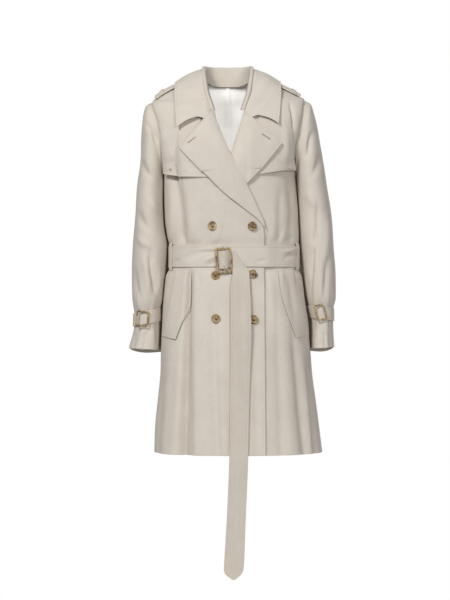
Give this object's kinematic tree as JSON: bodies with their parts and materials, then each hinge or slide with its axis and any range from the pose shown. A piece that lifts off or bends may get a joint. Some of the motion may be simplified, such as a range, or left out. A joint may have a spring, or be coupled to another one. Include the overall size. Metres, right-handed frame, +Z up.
{
  "type": "trench coat",
  "caption": "Belted double-breasted trench coat, filled out as worn and hollow, with lapels, storm flaps, shoulder tabs, buckled cuff straps and a hanging belt end.",
  "frame": {"origin": "base of the neck, between the shoulders, where the wearer carries the coat", "axes": "+Z up, the front faces -Y, +X to the viewer's right as seen from the front"},
  "size_m": [0.5274, 0.3087, 1.2914],
  "materials": {
    "coat_cloth": "fine smooth woven cloth, pale stone beige, matte",
    "lining": "smooth pale lining with a soft sheen",
    "horn": "polished marbled horn resin, tan to olive with dark brown edges"
  },
  "bodies": {
    "root": {"front_over": "coat_cloth", "front_under": "coat_cloth", "back": "coat_cloth", "sleeve_left": "coat_cloth", "sleeve_right": "coat_cloth", "lapel_left": "coat_cloth", "lapel_right": "coat_cloth", "storm_flap_left": "coat_cloth", "storm_flap_right": "coat_cloth", "pocket_welt_left": "coat_cloth", "pocket_welt_right": "coat_cloth", "collar": "coat_cloth", "shoulder_tab_left": "coat_cloth", "shoulder_loop_left": "coat_cloth", "shoulder_tab_right": "coat_cloth", "shoulder_loop_right": "coat_cloth", "belt": "coat_cloth", "belt_tail": "coat_cloth", "belt_loop_left": "coat_cloth", "belt_loop_right": "coat_cloth", "cuff_strap_left": "coat_cloth", "cuff_strap_right": "coat_cloth", "lining_back": "lining", "belt_buckle": "horn", "cuff_buckle_left": "horn", "cuff_buckle_right": "horn", "button_1": "horn", "button_2": "horn", "button_3": "horn", "button_4": "horn", "button_5": "horn", "button_6": "horn"}
  },
  "joints": []
}
